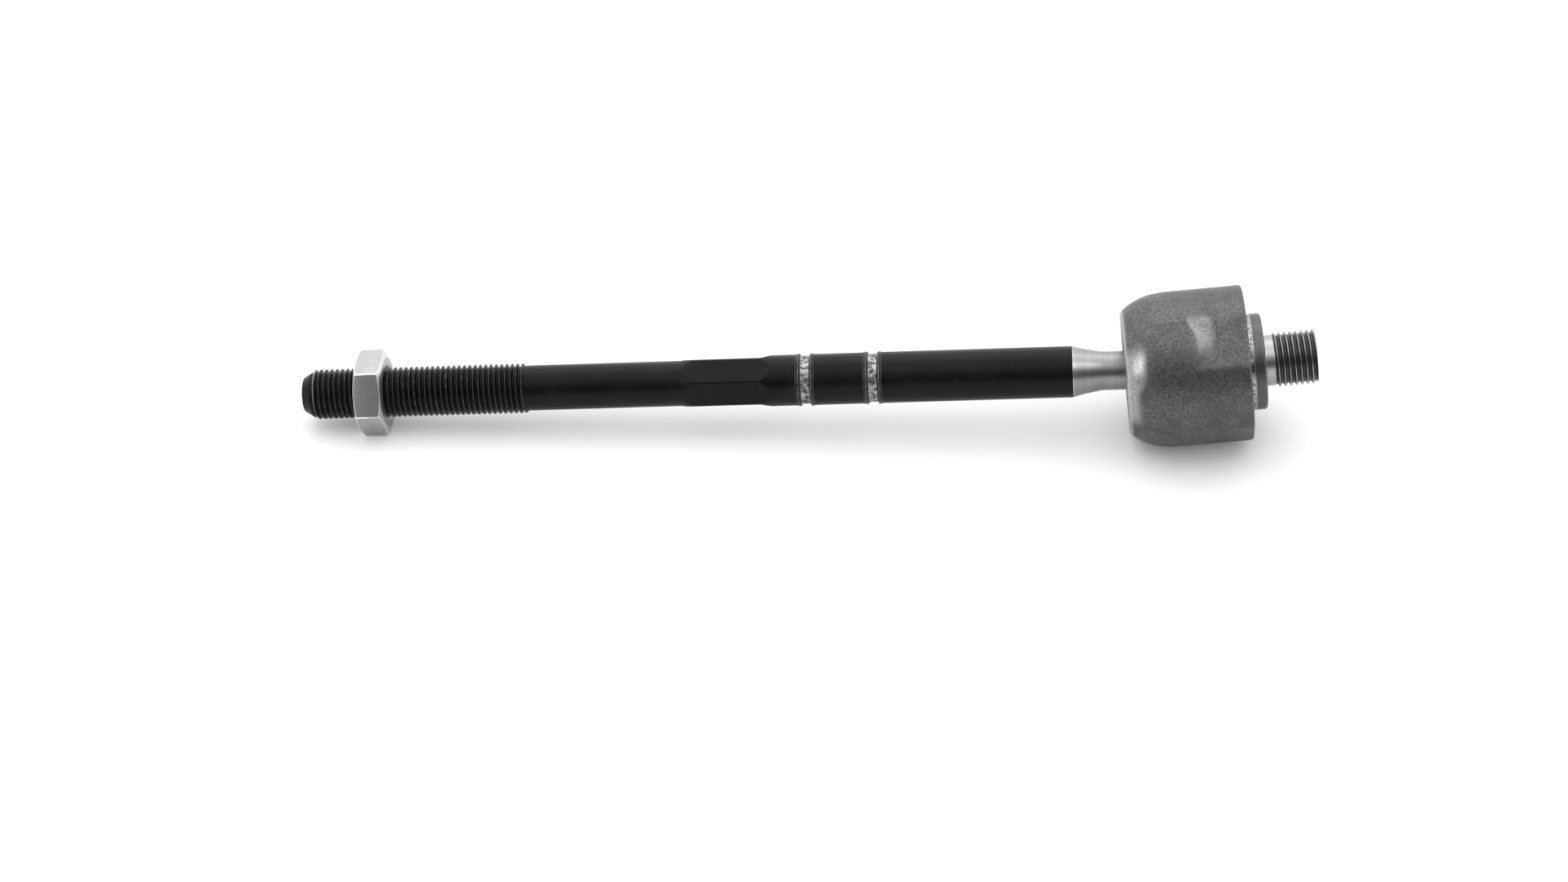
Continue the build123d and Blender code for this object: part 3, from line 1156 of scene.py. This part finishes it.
@dataclass
class SocketHousing:
    """The socket housing with its rolled rim, four flats, collar and rack stud."""

    axle: Axle
    ball_depth: float = 14.5
    round_r: float = 21.2
    face_r: float = 16.7
    dome_len: float = 12.0
    dome_stop: float = 12.0
    rim_r: float = 11.95
    mouth: tuple = (3.53, 10.53)
    cone_end: float = 9.31
    cavity_r: float = 15.05
    bore_end: float = 27.7
    flat_distance: float = 20.1
    flat_normal_deg: float = 38.8
    flat_sides: int = 4
    shoulder_start: float = 17.9
    shoulder_end: float = 27.0
    core_r: float = 19.9
    body_len: float = 33.2
    lobe_edge: float = 0.9
    flat_edge: float = 0.4
    collar_r: float = 13.1
    collar_len: float = 4.4
    collar_round: float = 0.8
    relief_r: float = 6.9
    relief_end: float = 40.1
    thread: Thread = Thread(pitch=1.5, crest_r=7.43, root_r=6.62)
    stud_end: float = 51.7
    stud_chamfer: float = 0.35

    def build(self) -> list[Piece]:
        """Builds the housing and its stud."""
        return [
            Piece(self._body(), BlastedSteel(), Body.HOUSING, "socket_housing"),
            Piece(self._stud(), TurnedStud(), Body.HOUSING, "socket_housing"),
        ]

    def _angles(self) -> np.ndarray:
        """Columns that meet the edges of the flats."""
        edge = math.degrees(math.acos(self.flat_distance / self.round_r))
        offsets = [*np.linspace(0, edge, 10), *np.linspace(edge, 45, 11)[1:]]
        return mirrored_angles(self.flat_normal_deg, self.flat_sides, offsets)

    def _front(self) -> list[tuple[float, float]]:
        """The corners of the cavity, the mouth, the rolled face and the dome."""
        drop = self.round_r - self.face_r
        dome_r = (self.dome_len**2 + drop**2) / (2 * drop)
        turn = math.degrees(math.asin(self.dome_len / dome_r))
        corners = [
            (self.bore_end, 0),
            (self.bore_end, self.cavity_r),
            (self.cone_end, self.cavity_r),
            (self.mouth[0] + 0.12, self.mouth[1] + 0.10),
            (self.mouth[0] - 0.18, self.mouth[1] + 0.04),
            (0.25, self.rim_r - 0.12),
            (0.06, self.rim_r + 0.02),
            (0.0, self.rim_r + 0.25),
            (0.0, self.face_r - 0.45),
            (0.05, self.face_r - 0.22),
            (0.16, self.face_r - 0.02),
        ]
        centre = (self.dome_len, self.round_r - dome_r)
        dome = arc(centre, dome_r, 90 + turn, 90 + self.dome_stop, 22)
        return corners + dome[1:] + [(self.dome_len, self.round_r)]

    def _body(self) -> bpy.types.Object:
        """The forged body from the rolled rim to its back face."""
        angles = self._angles()
        shell = Shell(angles)
        turn = np.cos(off_normal(angles, self.flat_normal_deg, self.flat_sides))
        flat_r = np.minimum(self.flat_distance / turn, self.round_r)
        shell.profile(self._front())
        shell.profile([(self.dome_len, self.round_r), (self.shoulder_start, self.round_r)])
        drop = self.round_r - self.core_r
        length = self.shoulder_end - self.shoulder_start
        share = 1 - np.sqrt(np.clip(1 - (self.round_r - flat_r) / drop, 0, 1))
        shares = np.linspace(0, 1, 11)[:, None] * share
        ramp_r = self.round_r - drop * (2 - shares) * shares
        shell.rows(self.shoulder_start + length * shares, ramp_r)
        meet = self.shoulder_start + length * share
        lobe = eased(flat_r, self.round_r - 0.35, self.round_r)
        edge = self.flat_edge + (self.lobe_edge - self.flat_edge) * lobe
        end = self.body_len - edge
        steps = np.linspace(0, 1, 9)[:, None]
        flats = meet + (end - meet) * steps
        shell.rows(flats, np.broadcast_to(flat_r, flats.shape))
        bend = np.radians(np.linspace(0, 90, 7))[:, None]
        shell.rows(end + edge * np.sin(bend), flat_r - edge * (1 - np.cos(bend)))
        back = np.full((2, len(angles)), self.body_len)
        shell.rows(back, np.stack([flat_r - edge, flat_r * 0]))
        return shell.make("housing_body", self.axle)

    def _stud_limits(self, along: np.ndarray, radius: np.ndarray) -> np.ndarray:
        """The stud's thread as its two ends leave it."""
        rise = eased(along, self.relief_end, self.relief_end + 0.7)
        upper = self.relief_r + (self.thread.crest_r - self.relief_r) * rise
        upper = np.minimum(upper, self.thread.crest_r - self.stud_chamfer + self.stud_end - along)
        lower = self.relief_r - (self.relief_r - self.thread.root_r) * rise
        return np.clip(radius, np.minimum(lower, upper), upper)

    def _stud(self) -> bpy.types.Object:
        """The collar, the relief and the threaded stud."""
        shell = Shell(even_angles(96))
        collar_end = self.body_len + self.collar_len
        edge = self.collar_round
        root = (self.body_len + edge, self.collar_r + edge)
        rim = (collar_end - edge, self.collar_r - edge)
        relief = (collar_end + 0.5, self.relief_r + 0.5)
        corners = [(self.body_len, 0)]
        corners += arc(root, edge, 180, 270, 7)
        corners += arc(rim, edge, 90, 0, 7)
        corners += arc(relief, 0.5, 180, 270, 5)
        corners.append((self.relief_end, self.relief_r))
        shell.profile(corners)
        first, last = self.thread.cut(shell, self.relief_end, self.stud_end, self._stud_limits)
        step = np.concatenate([first * 0 + self.relief_r, first])
        shell.rows([[self.relief_end]] * 2, step)
        shell.rows([[self.stud_end]] * 2, np.concatenate([last, last * 0]))
        return shell.make("collar_and_stud", self.axle)


@dataclass
class BallSeat:
    """The plastic race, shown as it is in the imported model."""

    node: str = "ball_seat"

    def dress(self) -> None:
        """Gives the race its plastic."""
        finish = Acetal()
        shown = frame["nodes"][self.node]
        shown.data.materials.clear()
        shown.data.materials.append(finish.material())
        log.info("%s: finish %s", self.node, finish.name)


@dataclass
class Studio:
    """The floor, the two walls, the sky, the lamp and the camera."""

    floor_half: float = 6.0
    floor_grey: float = 0.93
    floor_lift: float = 0.03
    wall_distance: float = 2.6
    wall_half: float = 5.0
    wall_top_deg: float = 82.0
    wall_foot: float = 0.02
    wall_steps: int = 24
    window_soft: float = 0.06
    wall_stops: tuple = (
        (0.0, 0.07),
        (0.33, 0.08),
        (0.47, 0.28),
        (0.60, 0.50),
        (0.78, 0.85),
        (1.0, 1.2),
    )
    windows: tuple = (((56.0, 68.0), (20.0, 62.0), 6.5), ((-72.0, -42.0), (54.0, 80.0), 4.0))
    back_stops: tuple = ((0.0, 1.5), (0.44, 1.6), (0.60, 2.4), (0.82, 1.9), (1.0, 1.1))
    sky_grey: float = 1.12
    lamp_place: tuple = (0.0, 0.1, 1.25)
    lamp_size: float = 2.4
    lamp_power: float = 8.5
    view_elevation: float = math.radians(36.2)
    view_azimuth: float = math.radians(4.536)
    view_roll: float = math.radians(-2.077)
    view_distance: float = 0.8737
    focal_px: float = 3866.9
    picture_px: float = 1920.0
    sensor_mm: float = 36.0
    aim_across: float = -0.10816
    aim_up: float = -0.00255

    def build(self) -> None:
        """Builds the studio."""
        self._floor()
        self._wall("front_wall", -1, self.wall_stops, self.windows)
        self._wall("back_wall", 1, self.back_stops, ())
        self._sky()
        self._lamp()
        self._camera()
        bpy.context.scene.view_settings.view_transform = "Standard"
        log.info("studio: floor, walls, sky, lamp and camera")

    def _stage_mesh(self, name: str, points: Sequence, faces: Sequence) -> bpy.types.Object:
        """A mesh that is part of the studio."""
        mesh = bpy.data.meshes.new(name)
        mesh.from_pydata(points, [], faces)
        made = bpy.data.objects.new(name, mesh)
        bpy.context.scene.collection.objects.link(made)
        return made

    def _floor(self) -> None:
        """The pale floor, which keeps the shadow."""
        half = self.floor_half
        points = [(-half, -half, 0), (half, -half, 0), (half, half, 0), (-half, half, 0)]
        made = self._stage_mesh("floor", points, [(0, 1, 2, 3)])
        material = bpy.data.materials.new("floor")
        bench = NodeBench(material)
        path = bench.node("ShaderNodeLightPath", output="Is Camera Ray")
        outputs = path.socket.node.outputs
        glossy, clear = (outputs[f"Is {kind} Ray"] for kind in ("Glossy", "Transmission"))
        seen = path + Wire(bench, glossy) + Wire(bench, clear)
        glow = bench.mix(0.0, self.floor_lift, seen)
        bench.surface(
            {
                "Base Color": self.floor_grey,
                "Roughness": 0.9,
                "Specular IOR Level": 0.0,
                "Emission Color": glow,
                "Emission Strength": 1.0,
            }
        )
        made.data.materials.append(material)

    def _wall(self, name: str, side: int, stops: tuple, windows: tuple) -> None:
        """A curved wall that only polished steel shows.

        Args:
            name: The wall's name.
            side: -1 in front of the part, 1 behind it.
            stops: Its brightness from the floor to its top.
            windows: Brighter fields, each two angles sideways, two angles upward and a brightness.
        """
        steps = self.wall_steps
        top = math.radians(self.wall_top_deg)
        points = []
        for step in range(steps + 1):
            angle = top * step / steps
            depth = side * self.wall_distance * math.cos(angle)
            height = self.wall_foot + self.wall_distance * math.sin(angle)
            points += [(-self.wall_half, depth, height), (self.wall_half, depth, height)]
        faces = [(2 * n, 2 * n + 1, 2 * n + 3, 2 * n + 2) for n in range(steps)]
        made = self._stage_mesh(name, points, faces)
        made.visible_camera = False
        made.visible_shadow = False
        made.visible_diffuse = False
        material = bpy.data.materials.new(name)
        bench = NodeBench(material)
        place = bench.node("ShaderNodeNewGeometry", output="Position")
        left, depth, height = bench.parts(place)
        angle = bench.node("ShaderNodeMath", {"operation": "ARCTAN2"}, {0: height, 1: abs(depth)})
        colour = bench.node("ShaderNodeValToRGB", {"stops": stops}, {0: angle / top})
        turn = {0: 0 - left, 1: 0 - depth}
        azimuth = bench.node("ShaderNodeMath", {"operation": "ARCTAN2"}, turn)
        for sideways, upward, grey in windows:
            window = azimuth.between(*np.radians(sideways).tolist(), self.window_soft)
            window = window * angle.between(*np.radians(upward).tolist(), self.window_soft)
            colour = bench.mix(colour, grey, window)
        light = bench.node("ShaderNodeEmission", None, {"Color": colour})
        bench.node("ShaderNodeOutputMaterial", None, {"Surface": light})
        made.data.materials.append(material)

    def _sky(self) -> None:
        """The even white surroundings."""
        world = bpy.data.worlds.new("sky")
        bpy.context.scene.world = world
        bench = NodeBench(world)
        light = bench.node("ShaderNodeBackground", None, {"Color": self.sky_grey})
        bench.node("ShaderNodeOutputWorld", None, {"Surface": light})

    def _lamp(self) -> None:
        """The soft lamp overhead, a little behind the rod."""
        lamp = bpy.data.lights.new("soft_lamp", "AREA")
        lamp.shape = "DISK"
        lamp.size = self.lamp_size
        lamp.energy = self.lamp_power
        made = bpy.data.objects.new("soft_lamp", lamp)
        made.location = self.lamp_place
        toward = -Vector(self.lamp_place)
        made.rotation_euler = toward.to_track_quat("-Z", "Y").to_euler()
        bpy.context.scene.collection.objects.link(made)

    def _camera(self) -> None:
        """The camera at the photograph's viewing angle."""
        ball = Vector(joint_named("ball_tilt")["pos_m"])
        under_ball = Vector((ball.x, ball.y, 0))
        sin_e, cos_e = math.sin(self.view_elevation), math.cos(self.view_elevation)
        sin_a, cos_a = math.sin(self.view_azimuth), math.cos(self.view_azimuth)
        back = Vector((sin_a * cos_e, -cos_a * cos_e, sin_e))
        level = Vector((cos_a, sin_a, 0))
        upright = back.cross(level)
        right = math.cos(self.view_roll) * level + math.sin(self.view_roll) * upright
        up = math.cos(self.view_roll) * upright - math.sin(self.view_roll) * level
        aim = under_ball + right * self.aim_across + up * self.aim_up
        data = bpy.data.cameras.new("camera")
        data.sensor_width = self.sensor_mm
        data.lens = self.focal_px / self.picture_px * self.sensor_mm
        data.clip_start = 0.01
        made = bpy.data.objects.new("camera", data)
        turned = Matrix((right, up, back)).transposed().to_4x4()
        made.matrix_world = Matrix.Translation(aim + back * self.view_distance) @ turned
        bpy.context.scene.collection.objects.link(made)
        bpy.context.scene.camera = made


def joint_named(name: str) -> dict:
    """The frame's joint of that name."""
    return next(joint for joint in frame["joints"] if joint["name"] == name)


def main() -> None:
    """Builds, dresses and reports the tie rod and its studio."""
    logging.basicConfig(level=logging.INFO, format="%(message)s")
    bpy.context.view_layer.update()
    centre = joint_named("ball_tilt")
    rod = BallRod(Axle.through(centre, joint_named("nut_travel")["axis"], BallRod.ball_place))
    turning = joint_named("ball_turn")["axis"]
    housing = SocketHousing(Axle.through(centre, turning, SocketHousing.ball_depth))
    nut = JamNut(rod.axle, rod.thread)
    for assembly in (rod, nut, housing):
        for piece in assembly.build():
            piece.dress()
    BallSeat().dress()
    Studio().build()


if __name__ == "__main__":
    main()
